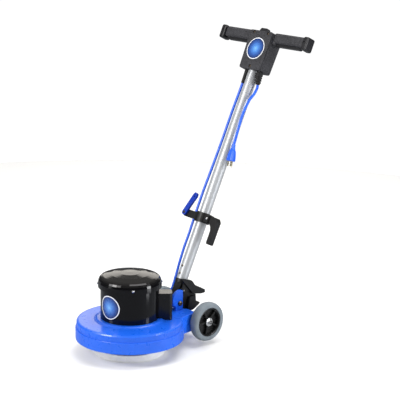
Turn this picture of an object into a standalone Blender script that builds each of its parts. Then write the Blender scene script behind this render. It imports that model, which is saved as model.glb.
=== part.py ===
"""Rotary floor machine with a round deck, an upright motor, two transport
wheels and a tilting T-handle.  Metres, +Z up.

Frame: the origin is the centre of the pad's lower face, on the floor.  The
disc is at the front (-Y), the wheels and the handle lean to the rear (+Y),
and X runs along the wheel axle.
"""
import math
import bpy
import bmesh
from mathutils import Matrix, Vector

for ob in list(bpy.data.objects):
    bpy.data.objects.remove(ob, do_unlink=True)

# ---------------------------------------------------------------- dimensions
GAP = 0.0003                 # play between pieces that touch

DECK_R = 0.180               # skirt
DECK_BAND_R = 0.1762         # upper band, just inside the skirt
SKIRT_Z0, SKIRT_Z1 = 0.0500, 0.0886
DECK_TOP_Z = 0.1125
COLLAR_Z = 0.1206            # raised seat round the motor
COLLAR_R = 0.1045
CEILING_Z = 0.1085
BOOM_HALF_W = 0.0955
BOOM_REAR_Y = 0.2830
BOOM_TOP_Z = 0.1120
POCKET_HALF_W = 0.0420
POCKET_Y0 = 0.2085
POCKET_FLOOR_Z = 0.0780

PAD_R, PAD_H = 0.1195, 0.0250
DRIVER_R = 0.1130

MOTOR_R = 0.0970
MOTOR_TOP_Z = 0.2440
CAP_R = 0.1055

PIVOT_Y, PIVOT_Z = 0.1870, 0.1360
EAR_X0, EAR_X1 = 0.0300, 0.0400

AXLE_Y, AXLE_Z, AXLE_R = 0.2416, 0.0799, 0.0060
WHEEL_R, WHEEL_W = 0.0668, 0.0310
WHEEL_X0 = 0.1002            # inner face of the tyre
HUB_R = 0.0494

HANDLE_LEAN = math.radians(25.45)
TUBE_R, TUBE_WALL = 0.0190, 0.0015
TUBE_Y, TUBE_Z = 0.0116, 0.0210    # tube frame seen from the pivot, along the handle

BOX_U0, BOX_U1 = 0.8110, 0.9500    # handle box, measured along the tube
BOX_W_TOP, BOX_W_BOT = 0.1060, 0.0955
BOX_V0, BOX_V1, BOX_SEAM = -0.0300, 0.0285, 0.0222
ARM_X1 = 0.1846
ARM_U0, ARM_U1 = 0.9170, 0.9540
ARM_V0, ARM_V1 = -0.0190, 0.0135

LEAD_R = 0.0046              # motor lead
CORD_R = 0.0047              # mains pigtail

# ---------------------------------------------------------------- collections
scene = bpy.context.scene
parts = bpy.data.collections.new("rotary_floor_machine")
cutters = bpy.data.collections.new("cutters")
scene.collection.children.link(parts)
scene.collection.children.link(cutters)


def material(name, colour, rough, metal=0.0):
    m = bpy.data.materials.new(name)
    m.use_nodes = True
    b = m.node_tree.nodes["Principled BSDF"]
    b.inputs["Base Color"].default_value = (*colour, 1.0)
    b.inputs["Roughness"].default_value = rough
    b.inputs["Metallic"].default_value = metal
    return m


M_BLUE = material("blue_plastic", (0.010, 0.115, 0.80), 0.28)
M_BLACK = material("black_gloss", (0.010, 0.010, 0.011), 0.18)
M_GREY = material("textured_black", (0.045, 0.046, 0.052), 0.55)
M_CAST = material("black_cast", (0.014, 0.014, 0.016), 0.42)
M_TRIM = material("black_trim", (0.020, 0.020, 0.022), 0.45)
M_TYRE = material("grey_rubber", (0.30, 0.34, 0.37), 0.6)
M_HUB = material("black_hub", (0.012, 0.012, 0.013), 0.35)
M_STEEL = material("steel", (0.62, 0.63, 0.65), 0.28, 1.0)
M_CHROME = material("bright_tube", (0.80, 0.81, 0.82), 0.12, 1.0)
M_ALU = material("aluminium", (0.72, 0.73, 0.74), 0.4, 1.0)
M_PAD = material("white_pad", (0.80, 0.80, 0.78), 0.9)
M_DRIVER = material("grey_driver", (0.20, 0.21, 0.22), 0.5)
M_BADGE = material("badge", (0.75, 0.80, 0.88), 0.3)
M_COPPER = material("windings", (0.55, 0.20, 0.07), 0.35, 0.8)
M_LEAD = material("blue_lead", (0.010, 0.15, 0.80), 0.42)
M_RUBBER = material("black_rubber", (0.012, 0.012, 0.013), 0.6)
M_BRASS = material("brass", (0.70, 0.50, 0.20), 0.25, 1.0)


# ---------------------------------------------------------------- helpers
def finish(ob, mat, coll=parts):
    for c in list(ob.users_collection):
        c.objects.unlink(ob)
    coll.objects.link(ob)
    if mat is not None:
        ob.data.materials.clear()
        ob.data.materials.append(mat)
    if coll is cutters:
        ob.hide_render = True
        ob.display_type = "WIRE"
    return ob


def mesh_object(name, bm, mat, coll=parts, smooth=35.0):
    bmesh.ops.recalc_face_normals(bm, faces=bm.faces)
    me = bpy.data.meshes.new(name)
    bm.to_mesh(me)
    bm.free()
    if smooth:
        me.shade_smooth()
        me.set_sharp_from_angle(angle=math.radians(smooth))
    ob = bpy.data.objects.new(name, me)
    return finish(ob, mat, coll)


def block(name, size, centre, mat, coll=parts, bevel=0.0, segs=2, rot=None):
    bm = bmesh.new()
    bmesh.ops.create_cube(bm, size=1.0)
    bmesh.ops.scale(bm, vec=Vector(size), verts=bm.verts)
    if rot is not None:
        bmesh.ops.rotate(bm, matrix=rot, verts=bm.verts)
    bmesh.ops.translate(bm, vec=Vector(centre), verts=bm.verts)
    if bevel:
        bmesh.ops.bevel(bm, geom=list(bm.edges), offset=bevel, segments=segs,
                        profile=0.5, affect="EDGES")
    return mesh_object(name, bm, mat, coll)


def rod(name, r, length, centre, axis, mat, coll=parts, segs=24, bevel=0.0, r2=None):
    bm = bmesh.new()
    bmesh.ops.create_cone(bm, cap_ends=True, segments=segs, radius1=r,
                          radius2=r if r2 is None else r2, depth=length)
    if bevel:
        rim = [e for e in bm.edges if abs(e.verts[0].co.z - e.verts[1].co.z) < 1e-7]
        bmesh.ops.bevel(bm, geom=rim, offset=bevel, segments=1, affect="EDGES")
    q = Vector((0, 0, 1)).rotation_difference(Vector(axis).normalized())
    bmesh.ops.transform(bm, matrix=Matrix.Translation(Vector(centre)) @ q.to_matrix().to_4x4(),
                        verts=bm.verts)
    return mesh_object(name, bm, mat, coll)


def turned(name, profile, mat, coll=parts, steps=64, closed=True, matrix=None, smooth=35.0):
    """Profile of (radius, height) pairs turned once round local Z."""
    me = bpy.data.meshes.new(name)
    n = len(profile)
    edges = [(i, i + 1) for i in range(n - 1)]
    if closed:
        edges.append((n - 1, 0))
    me.from_pydata([(r, 0.0, z) for r, z in profile], edges, [])
    ob = bpy.data.objects.new(name, me)
    scene.collection.objects.link(ob)
    m = ob.modifiers.new("turn", "SCREW")
    m.axis = "Z"
    m.angle = math.tau
    m.steps = steps
    m.render_steps = steps
    m.screw_offset = 0.0
    m.use_merge_vertices = True
    m.merge_threshold = 0.00001
    m.use_smooth_shade = True
    return bake(ob, mat, coll, matrix, smooth)


def bake(ob, mat, coll=parts, matrix=None, smooth=35.0, weld=0.000005):
    """Turn an object with modifiers, or a curve, into a plain mesh object."""
    bpy.context.view_layer.update()
    ev = ob.evaluated_get(bpy.context.evaluated_depsgraph_get())
    me = bpy.data.meshes.new_from_object(ev)
    bm = bmesh.new()
    bm.from_mesh(me)
    bmesh.ops.transform(bm, matrix=ob.matrix_world, verts=bm.verts)
    if matrix is not None:
        bmesh.ops.transform(bm, matrix=matrix, verts=bm.verts)
    bmesh.ops.remove_doubles(bm, verts=bm.verts, dist=weld)
    name = ob.name
    data = ob.data
    bpy.data.objects.remove(ob, do_unlink=True)
    if isinstance(data, bpy.types.Mesh):
        bpy.data.meshes.remove(data)
    else:
        bpy.data.curves.remove(data)
    bpy.data.meshes.remove(me)
    return mesh_object(name, bm, mat, coll, smooth)


YZ_PLANE = Matrix(((0, 0, 1, 0), (1, 0, 0, 0), (0, 1, 0, 0), (0, 0, 0, 1)))     # outline in (Y, Z), thickness along X
XZ_PLANE = Matrix(((1, 0, 0, 0), (0, 0, -1, 0), (0, 1, 0, 0), (0, 0, 0, 1)))    # outline in (X, Z), thickness along -Y


def outline(name, loops, lo, hi, plane, mat, coll=parts, bevel=0.0, segs=2):
    """Flat outline (first loop) with holes (other loops), from lo to hi along
    the plane's normal."""
    cu = bpy.data.curves.new(name, "CURVE")
    cu.dimensions = "2D"
    cu.fill_mode = "BOTH"
    cu.extrude = (hi - lo) / 2.0
    for pts in loops:
        sp = cu.splines.new("POLY")
        sp.points.add(len(pts) - 1)
        for p, (a, b) in zip(sp.points, pts):
            p.co = (a, b, 0.0, 1.0)
        sp.use_cyclic_u = True
    ob = bpy.data.objects.new(name, cu)
    scene.collection.objects.link(ob)
    shift = Matrix.Translation((0, 0, (lo + hi) / 2.0))
    ob = bake(ob, mat, coll, (plane if plane is not None else Matrix.Identity(4)) @ shift)
    if bevel:
        soften(ob, bevel, segs)
    return ob


def soften(ob, width, segs=2, angle=35.0):
    m = ob.modifiers.new("edges", "BEVEL")
    m.width = width
    m.segments = segs
    m.limit_method = "ANGLE"
    m.angle_limit = math.radians(angle)
    m.miter_outer = "MITER_ARC"
    return ob


def boolean(ob, cutter, op="DIFFERENCE"):
    if cutter.name not in cutters.objects:
        finish(cutter, None, cutters)
    m = ob.modifiers.new(op.lower(), "BOOLEAN")
    m.operation = op
    m.solver = "EXACT"
    m.object = cutter
    return ob


def wire(name, pts, r, mat, coll=parts, res=3):
    cu = bpy.data.curves.new(name, "CURVE")
    cu.dimensions = "3D"
    cu.bevel_depth = r
    cu.bevel_resolution = res
    cu.use_fill_caps = True
    sp = cu.splines.new("POLY")
    sp.points.add(len(pts) - 1)
    for p, co in zip(sp.points, pts):
        p.co = (*co, 1.0)
    ob = bpy.data.objects.new(name, cu)
    return finish(ob, mat, coll)


def smooth_path(ctrl, step):
    """Catmull-Rom curve through the control points, sampled at even steps."""
    P = [Vector(p) for p in ctrl]
    P = [P[0] * 2 - P[1]] + P + [P[-1] * 2 - P[-2]]
    dense = []
    for i in range(1, len(P) - 2):
        a, b, c, d = P[i - 1:i + 3]
        for k in range(24):
            t = k / 24.0
            dense.append(0.5 * ((2 * b) + (c - a) * t + (2 * a - 5 * b + 4 * c - d) * t * t
                                + (3 * b - a - 3 * c + d) * t ** 3))
    dense.append(P[-2].copy())
    total = sum((q - p).length for p, q in zip(dense, dense[1:]))
    n = max(2, round(total / step))
    out, want, run = [dense[0]], total / n, 0.0
    for p, q in zip(dense, dense[1:]):
        seg = (q - p).length
        while seg > 1e-12 and run + seg >= want * len(out) - 1e-9 and len(out) < n:
            t = (want * len(out) - run) / seg
            out.append(p.lerp(q, min(max(t, 0), 1)))
        run += seg
    out.append(dense[-1])
    return out


def bend_path(ctrl, turn, longest):
    """The same curve, with points only as close as its bends need."""
    dense = smooth_path(ctrl, 0.0015)
    out, last = [dense[0]], (dense[1] - dense[0]).normalized()
    for p, q in zip(dense[1:-2], dense[2:-1]):
        d = (q - p).normalized()
        if d.angle(last) > math.radians(turn) or (p - out[-1]).length > longest:
            out.append(p)
            last = d
    if (out[-1] - dense[-1]).length < 0.002:
        out.pop()
    return out + [dense[-1]]


def arc(cx, cy, r, a0, a1, n):
    """Points of an arc, angles in degrees."""
    return [(cx + r * math.cos(math.radians(a0 + (a1 - a0) * i / n)),
             cy + r * math.sin(math.radians(a0 + (a1 - a0) * i / n))) for i in range(n + 1)]


def rounded(pts, r, n=4):
    """Round the corners of a polygon; r is one radius or one for each corner."""
    out = []
    k = len(pts)
    for i in range(k):
        ri = r[i] if isinstance(r, (list, tuple)) else r
        p0, p1, p2 = Vector(pts[i - 1]), Vector(pts[i]), Vector(pts[(i + 1) % k])
        a, b = (p0 - p1).normalized(), (p2 - p1).normalized()
        ang = a.angle(b)
        if ri <= 0 or abs(ang - math.pi) < 1e-3:
            out.append(tuple(p1))
            continue
        t = ri / math.tan(ang / 2.0)
        mid = (a + b).normalized() * (ri / math.sin(ang / 2.0)) + p1
        s, e = p1 + a * t - mid, p1 + b * t - mid
        a0 = math.atan2(s.y, s.x)
        a1 = math.atan2(e.y, e.x)
        d = (a1 - a0 + math.pi) % math.tau - math.pi
        for j in range(n + 1):
            w = a0 + d * j / n
            out.append((mid.x + ri * math.cos(w), mid.y + ri * math.sin(w)))
    return out


def empty(name, location, parent=None, rotation=(0, 0, 0)):
    e = bpy.data.objects.new(name, None)
    e.empty_display_size = 0.03
    e.location = location
    e.rotation_euler = rotation
    parts.objects.link(e)
    if parent is not None:
        e.parent = parent
    bpy.context.view_layer.update()
    return e


def hold(ob, parent):
    """Parent a piece modelled in the parent's own frame, with its cutters."""
    ob.parent = parent
    for m in ob.modifiers:
        if m.type == "BOOLEAN" and m.object is not None and m.object.parent is None:
            hold(m.object, parent)
    return ob


# ---------------------------------------------------------------- joint axes
brush_axis = empty("brush_axis", (0, 0, 0))
wheel_axis_r = empty("wheel_axis_r", (0, AXLE_Y, AXLE_Z))
wheel_axis_l = empty("wheel_axis_l", (0, AXLE_Y, AXLE_Z))
handle_axis = empty("handle_axis", (0, PIVOT_Y, PIVOT_Z), rotation=(-HANDLE_LEAN, 0, 0))


def H(x, u, v):
    """Point on the handle: x across, u along the tube, v towards its front."""
    return Vector((x, TUBE_Y - v, TUBE_Z + u))


def HP(u, v):
    """The same for outlines in the handle's YZ plane."""
    return (TUBE_Y - v, TUBE_Z + u)


H_FRONT = Matrix.Translation((0, TUBE_Y, TUBE_Z)) @ XZ_PLANE    # outline in (x, u), thickness along v
H_ALONG = Matrix.Translation((0, TUBE_Y, TUBE_Z)) @ Matrix(((1, 0, 0, 0), (0, -1, 0, 0), (0, 0, 1, 0), (0, 0, 0, 1)))

# ---------------------------------------------------------------- deck
deck_profile = [
    (0.0, COLLAR_Z), (COLLAR_R, COLLAR_Z), (0.1085, 0.1197), (0.1125, 0.1172),
    (0.1190, 0.1151), (0.1400, 0.1138), (0.1690, DECK_TOP_Z),
    (0.1735, 0.1113), (DECK_BAND_R, 0.1075), (DECK_BAND_R, 0.0893),
    (0.1788, 0.0886), (DECK_R, 0.0872), (DECK_R, 0.0520), (0.1788, SKIRT_Z0),
    (0.0, SKIRT_Z0)]
deck = turned("deck_housing", deck_profile, M_BLUE, steps=60, closed=False)

w = BOOM_HALF_W
boom_pts = rounded([(0.098, 0.06), (0.106, 0.118), (w, 0.186), (w, BOOM_REAR_Y),
                    (-w, BOOM_REAR_Y), (-w, 0.186), (-0.106, 0.118), (-0.098, 0.06)],
                   [0, 0.03, 0.03, 0.018, 0.018, 0.03, 0.03, 0], 3)
boom = outline("boom_solid", [boom_pts], SKIRT_Z0 + 0.0002, BOOM_TOP_Z, None, None, cutters, 0.0042, 2)
boolean(deck, boom, "UNION")

ear_pts = ([(0.1690, 0.1060), (0.1690, 0.1290), (0.1590, 0.1300)]
           + arc(PIVOT_Y, 0.1505, 0.0312, 196, 63, 10)
           + [(0.2012, 0.1740), (0.2012, 0.1060)])
low_ear_pts = [(0.1720, 0.1060)] + arc(PIVOT_Y, 0.1365, 0.0150, 180, 0, 10) + [(0.2020, 0.1060)]
for side in (1, -1):
    x0, x1 = sorted((side * EAR_X0, side * EAR_X1))
    ear = outline("ear_solid_%s" % ("r" if side > 0 else "l"), [ear_pts if side > 0 else low_ear_pts], x0, x1,
                  YZ_PLANE, None, cutters, 0.0012, 1)
    boolean(deck, ear, "UNION")

# hollow underside: round chamber, two side bays, centre bay
boolean(deck, turned("chamber", [(0.0, CEILING_Z), (0.1714, CEILING_Z), (0.1734, 0.0860),
                                 (0.1760, 0.0390), (0.0, 0.0390)],
                     None, cutters, steps=60, closed=False, matrix=Matrix.Rotation(math.radians(2.7), 4, "Z")))
for side in (1, -1):
    boolean(deck, block("side_bay_%s" % ("r" if side > 0 else "l"), (0.0420, 0.135, 0.0770),
                        (side * 0.0700, 0.2085, 0.0675), None, cutters, 0.004, 1))
boolean(deck, block("centre_bay", (0.0820, 0.075, 0.0770), (0, 0.1610, 0.0675), None, cutters, 0.004, 1))
boolean(deck, block("handle_pocket", (2 * POCKET_HALF_W, 0.1000, 0.0600),
                    (0, POCKET_Y0 + 0.0500, POCKET_FLOOR_Z + 0.0300), None, cutters, 0.003, 1))
boolean(deck, block("boom_step", (0.2500, 0.1000, 0.0600), (0, 0.2642, 0.1192), None, cutters, 0.002, 1))
boolean(deck, block("web_slot", (0.0560, 0.0280, 0.0600), (0, 0.1970, 0.1150), None, cutters))
boolean(deck, rod("shaft_bore", 0.0200, 0.06, (0, 0, 0.115), (0, 0, 1), None, cutters, 24))
boolean(deck, rod("axle_bore", AXLE_R + GAP, 0.24, (0, AXLE_Y, AXLE_Z), (1, 0, 0), None, cutters, 16))
boolean(deck, rod("pivot_bore", 0.0063, 0.10, (0, PIVOT_Y, PIVOT_Z), (1, 0, 0), None, cutters, 16))
boolean(deck, rod("lead_bore", 0.0083, 0.020, (-0.0660, 0.1450, 0.112), (0, 0, 1), None, cutters, 16))

# ---------------------------------------------------------------- motor cover and cap
motor_cover = turned("motor_cover", [(MOTOR_R - 0.003, MOTOR_TOP_Z), (MOTOR_R, MOTOR_TOP_Z),
                                     (MOTOR_R, COLLAR_Z + GAP), (MOTOR_R - 0.003, COLLAR_Z + GAP)],
                     M_BLACK, steps=52)
cap_profile = [(0.0, 0.2735), (0.032, 0.2724), (0.062, 0.2687), (0.088, 0.2632),
               (0.0955, 0.2605), (0.1000, 0.2565), (0.1032, 0.2505), (0.1050, 0.2430),
               (CAP_R, 0.2360), (CAP_R - 0.0002, 0.2264), (0.1025, 0.2264), (0.1022, MOTOR_TOP_Z + GAP),
               (0.0925, MOTOR_TOP_Z + GAP), (0.0925, 0.2500), (0.0870, 0.2585),
               (0.050, 0.2664), (0.0, 0.2696)]
motor_cap = turned("motor_cap", cap_profile, M_BLACK, steps=44, closed=False)
SCREW_Z = 0.2391
for i in range(4):
    a = math.radians(55 + 90 * i)
    d = Vector((math.sin(a), -math.cos(a), 0))
    hole = rod("cap_screw_hole_%d" % (i + 1), 0.0024, 0.030, d * 0.100 + Vector((0, 0, SCREW_Z)), d, None, cutters, 8)
    boolean(motor_cap, hole)
    boolean(motor_cover, hole)
    q = Vector((0, 0, 1)).rotation_difference(d).to_matrix().to_4x4()
    turned("cap_screw_%d" % (i + 1),
           [(0.0, 0.1089), (0.0022, 0.1087), (0.0037, 0.1078), (0.0043, CAP_R + GAP),
            (0.0020, CAP_R + GAP), (0.0020, 0.0915), (0.0, 0.0905)], M_STEEL, steps=12, closed=False,
           matrix=Matrix.Translation((0, 0, SCREW_Z)) @ q)

# ---------------------------------------------------------------- capacitor cover, behind the motor
CAP_RAD = Vector((0.630, 0.7766, 0.0))          # outwards from the motor
CAP_TAN = Vector((0.7766, -0.630, 0.0))


def CC(r, t):
    q = CAP_RAD * r + CAP_TAN * t
    return (q.x, q.y)


capacitor_cover = outline("capacitor_cover",
                          [rounded([CC(0.0850, -0.0248), CC(0.0850, 0.0248), CC(0.1395, 0.0248), CC(0.1395, -0.0248)],
                                   [0, 0, 0.011, 0.011], 4)], 0.1005, 0.2060, None, M_BLACK)
soften(capacitor_cover, 0.0040, 2, 40)
cavity = outline("capacitor_bay",
                 [rounded([CC(0.0890, -0.0218), CC(0.0890, 0.0218), CC(0.1365, 0.0218), CC(0.1365, -0.0218)],
                          [0, 0, 0.008, 0.008], 2)], 0.0960, 0.2030, None, None, cutters)
boolean(cavity, rod("bay_front", 0.1005, 0.30, (0, 0, 0.15), (0, 0, 1), None, cutters, 52))
boolean(capacitor_cover, cavity)
seat = turned("motor_and_collar", [(0.0, 0.2400), (MOTOR_R + GAP, 0.2400), (MOTOR_R + GAP, COLLAR_Z + 0.0006),
                                   (COLLAR_R + 0.0004, COLLAR_Z + 0.0006), (0.1088, 0.1202), (0.1128, 0.1178),
                                   (0.1188, 0.1158), (0.1300, 0.1149), (0.1500, 0.1140), (0.1500, 0.1000),
                                   (0.0, 0.1000)], None, cutters, steps=52, closed=False)
boolean(capacitor_cover, seat)
rod("capacitor", 0.0150, 0.0770, (0.0740, 0.0911, 0.1600), (0, 0, 1), M_ALU, segs=18, bevel=0.0015)

# ---------------------------------------------------------------- motor badge, a thin curved disc
badge_dir = Vector((math.sin(math.radians(6)), -math.cos(math.radians(6)), 0))
motor_badge = rod("motor_badge", 0.0395, 0.0300, badge_dir * 0.0950 + Vector((0, 0, 0.1738)), badge_dir, M_BADGE, segs=40)
boolean(motor_badge, turned("badge_skin", [(MOTOR_R + GAP, 0.2300), (MOTOR_R + 0.0010, 0.2300),
                                           (MOTOR_R + 0.0010, 0.1250), (MOTOR_R + GAP, 0.1250)],
                            None, cutters, steps=104), "INTERSECT")

# ---------------------------------------------------------------- motor and reduction inside
turned("motor_stator", [(0.0700, 0.2180), (0.0700, 0.2060), (0.0810, 0.2060), (0.0810, 0.1440),
                        (0.0700, 0.1440), (0.0700, 0.1320), (0.0480, 0.1320), (0.0415, 0.1440),
                        (0.0415, 0.2060), (0.0480, 0.2180)], M_COPPER, steps=24)
turned("motor_rotor", [(0.0, 0.2350), (0.0070, 0.2350), (0.0070, 0.2080), (0.0400, 0.2080), (0.0400, 0.1420),
                       (0.0080, 0.1420), (0.0080, 0.1000), (0.0120, 0.1000), (0.0120, 0.0830), (0.0, 0.0830)],
       M_STEEL, steps=20, closed=False)
hold(bpy.data.objects["motor_rotor"], brush_axis)
fan_pts = []
for i in range(9):
    a = 40.0 * i
    fan_pts += arc(0, 0, 0.074, a - 4, a + 4, 1) + arc(0, 0, 0.026, a + 13, a + 27, 1)
fan = outline("cooling_fan", [fan_pts, arc(0, 0, 0.0074, 0, 342, 19)], 0.2215, 0.2330, None, M_GREY)
hold(fan, brush_axis)
turned("motor_bearing", [(0.0083, 0.1196), (0.0197, 0.1196), (0.0197, 0.1094), (0.0083, 0.1094)], M_STEEL, steps=20)
turned("gear_case", [(0.0520, CEILING_Z - GAP), (0.0700, CEILING_Z - GAP), (0.0700, 0.1020), (0.0580, 0.1020),
                     (0.0560, 0.0640), (0.0450, 0.0600), (0.0125, 0.0600), (0.0125, 0.0670), (0.0480, 0.0670),
                     (0.0520, 0.0720)], M_ALU, steps=26)
hold(turned("output_shaft", [(0.0, 0.0790), (0.0400, 0.0790), (0.0400, 0.0720), (0.0120, 0.0700), (0.0120, 0.0570),
                             (0.0380, 0.0570), (0.0380, 0.0513), (0.0, 0.0513)], M_STEEL, steps=20, closed=False),
     brush_axis)

# ---------------------------------------------------------------- pad driver and pad
hold(turned("pad_driver", [(0.0, 0.0510), (0.0440, 0.0510), (0.0470, 0.0490), (0.0490, 0.0410), (0.1080, 0.0390),
                           (DRIVER_R, 0.0360), (DRIVER_R, PAD_H + GAP), (0.0, PAD_H + GAP)],
            M_DRIVER, steps=36, closed=False), brush_axis)
hold(turned("pad", [(0.0, PAD_H), (PAD_R - 0.0010, PAD_H), (PAD_R, PAD_H - 0.0015), (PAD_R - 0.0006, 0.0060),
                    (PAD_R - 0.0030, 0.0015), (PAD_R - 0.0070, 0.0), (0.0, 0.0)],
            M_PAD, steps=52, closed=False), brush_axis)

# ---------------------------------------------------------------- axle and wheels
rod("axle", AXLE_R, 0.2666, (0, AXLE_Y, AXLE_Z), (1, 0, 0), M_STEEL, segs=16, bevel=0.0008)
for side, tag, axis_empty in ((1, "r", wheel_axis_r), (-1, "l", wheel_axis_l)):
    turn = Matrix.Rotation(math.radians(90 * side), 4, "Y")       # local Z -> +-X

    x0, x1 = WHEEL_X0, WHEEL_X0 + WHEEL_W
    R = WHEEL_R
    tyre = turned("tyre_%s" % tag,
                  [(HUB_R + GAP, x1 - 0.0010), (HUB_R + 0.0030, x1), (R - 0.0080, x1),
                   (R - 0.0026, x1 - 0.0028), (R, x1 - 0.0095), (R, x0 + 0.0095),
                   (R - 0.0026, x0 + 0.0028), (R - 0.0080, x0), (HUB_R + GAP, x0)],
                  M_TYRE, steps=40, matrix=turn)
    hold(tyre, axis_empty)
    hub = turned("hub_%s" % tag,
                 [(AXLE_R + GAP, x1 - 0.0055), (0.0135, x1 - 0.0055), (0.0142, x1 - 0.0165), (0.0430, x1 - 0.0165),
                  (0.0445, x1 - 0.0028), (0.0465, x1 - 0.0016), (HUB_R, x1 - 0.0022), (HUB_R, x0 + 0.0018),
                  (0.0445, x0 + 0.0018), (0.0430, x0 + 0.0110), (0.0142, x0 + 0.0110),
                  (0.0135, x0 + 0.0008), (AXLE_R + GAP, x0 + 0.0008)], M_HUB, steps=30, matrix=turn)
    for k in range(5):
        a = math.radians(43 + 72 * k)
        spoke = block("spoke_%s_%d" % (tag, k + 1), (0.0095, 0.0340, 0.0068), (0, 0, 0), None, cutters, 0.0012, 1)
        # spoke lies along local Y; turn it about the axle
        spoke.matrix_world = (Matrix.Rotation(a, 4, "X") @ Matrix.Translation((side * (x1 - 0.0125), 0.0280, 0)))
        boolean(hub, spoke, "UNION")
    hold(hub, axis_empty)
    cap = turned("wheel_cap_%s" % tag,
                 [(0.0, x1 + 0.0046), (0.0058, x1 + 0.0040), (0.0078, x1 + 0.0026), (0.0088, x1 - 0.0010),
                  (0.0140, x1 - 0.0026), (0.0140, x1 - 0.0050), (0.0063, x1 - 0.0050), (0.0063, x1 + 0.0024),
                  (0.0, x1 + 0.0028)], M_STEEL, steps=20, closed=False,
                 matrix=Matrix.Translation((0, AXLE_Y, AXLE_Z)) @ turn)

# ---------------------------------------------------------------- handle pivot
turned("pivot_bolt", [(0.0, 0.0462), (0.0050, 0.0462), (0.0076, 0.0450), (0.0086, 0.0430), (0.0086, EAR_X1 + GAP),
                      (0.0060, EAR_X1 + GAP), (0.0060, -0.0478), (0.0, -0.0482)], M_STEEL, steps=16, closed=False,
       matrix=Matrix.Translation((0, PIVOT_Y, PIVOT_Z)) @ Matrix.Rotation(math.radians(90), 4, "Y"))
nut = outline("pivot_nut", [arc(PIVOT_Y, PIVOT_Z, 0.0092, 0, 300, 5), arc(PIVOT_Y, PIVOT_Z, 0.0064, 0, 337.5, 15)],
              -0.0462, -EAR_X1 - GAP, YZ_PLANE, M_STEEL)

# yoke: a web between the ears, wider behind them, with a spigot up the tube


def rest_to_handle(y, z):
    """World (Y, Z) at rest to the handle's own YZ plane."""
    dy, dz = y - PIVOT_Y, z - PIVOT_Z
    c, s = math.cos(HANDLE_LEAN), math.sin(HANDLE_LEAN)
    return (dy * c - dz * s, dy * s + dz * c)


RH = rest_to_handle
body_pts = rounded([RH(0.1700, 0.1430), RH(0.1830, 0.1520), RH(0.1979, 0.1624), RH(0.2072, 0.1797), RH(0.2162, 0.1957),
                    HP(0.0560, 0.0120), HP(0.0560, -0.0200), RH(0.2400, 0.1690), RH(0.2400, 0.1450),
                    RH(0.2400, 0.1180), RH(0.2150, 0.1125), RH(0.1870, 0.1140), RH(0.1690, 0.1240)],
                   [0.008, 0, 0.012, 0, 0.02, 0.002, 0.003, 0.010, 0, 0, 0.012, 0.012, 0.010], 2)
yoke = outline("handle_yoke", [body_pts], -0.0150, 0.0150, YZ_PLANE, M_CAST)
mid_pts = rounded([RH(0.2090, 0.1560), RH(0.2420, 0.1660), RH(0.2570, 0.1612), RH(0.2610, 0.1490), RH(0.2745, 0.1483), RH(0.2752, 0.1215),
                   RH(0.2620, 0.1065), RH(0.2480, 0.0992), RH(0.2112, 0.1005)],
                  [0.006, 0, 0.003, 0.003, 0.003, 0.003, 0.004, 0.006, 0.006], 2)
boolean(yoke, outline("yoke_block", [mid_pts], -0.0245, 0.0245, YZ_PLANE, None, cutters), "UNION")
rear_pts = rounded([RH(0.2375, 0.1470), RH(0.2640, 0.1470), RH(0.2650, 0.1255), RH(0.2823, 0.1209),
                    RH(0.2824, 0.1152), RH(0.2654, 0.1052), RH(0.2517, 0.0986), RH(0.2400, 0.0986), RH(0.2290, 0.1020),
                    RH(0.2290, 0.1150)],
                   [0.003, 0.004, 0.002, 0.003, 0.003, 0.004, 0.004, 0.004, 0.003, 0.004], 1)
boolean(yoke, outline("yoke_rear", [rear_pts], -0.0362, 0.0362, YZ_PLANE, None, cutters), "UNION")
flank_pts = rounded([RH(0.2180, 0.1500), RH(0.2205, 0.1740), RH(0.2280, 0.1905), RH(0.2345, 0.2000), HP(0.0500, -0.0188),
                     RH(0.2385, 0.1690), RH(0.2385, 0.1500)], [0, 0.01, 0, 0.003, 0.003, 0, 0], 2)
boolean(yoke, outline("yoke_flanks", [flank_pts], -0.0238, 0.0238, YZ_PLANE, None, cutters), "UNION")
boolean(yoke, rod("pin_boss", 0.0072, 0.0238, (0.0120, *RH(0.2152, 0.1724)), (1, 0, 0), None, cutters, 16), "UNION")
boolean(yoke, rod("yoke_bosses", 0.0148, 0.0590, (0, 0, 0), (1, 0, 0), None, cutters, 24), "UNION")
boolean(yoke, rod("yoke_collar", 0.0197, 0.0115, H(0, 0.05225, 0), (0, 0, 1), None, cutters, 32), "UNION")
boolean(yoke, rod("spigot", 0.0171, 0.0700, H(0, 0.0850, 0), (0, 0, 1), None, cutters, 20), "UNION")
boolean(yoke, rod("yoke_bore", 0.0063, 0.0700, (0, 0, 0), (1, 0, 0), None, cutters, 16))
PIN = Vector((0, *RH(0.2152, 0.1724)))
boolean(yoke, rod("pin_bore", 0.0032, 0.0700, PIN, (1, 0, 0), None, cutters, 10))
for i, u in enumerate((0.1024, 0.0761)):
    boolean(yoke, rod("spigot_hole_%d" % (i + 1), 0.0023, 0.0300, H(0, u, 0.0150), (0, 1, 0), None, cutters, 12))
hold(yoke, handle_axis)

hold(rod("pedal_pin", 0.0029, 0.0542, PIN + Vector((0.0026, 0, 0)), (1, 0, 0), M_STEEL, segs=12, bevel=0.0006), handle_axis)

# ---------------------------------------------------------------- foot pedal: a cheek on the pin, skirts and a ribbed tread
pedal_axis = empty("pedal_axis", PIN, handle_axis)


def PD(y, z):
    a, b = RH(y, z)
    return (a - PIN.y, b - PIN.z)


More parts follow.
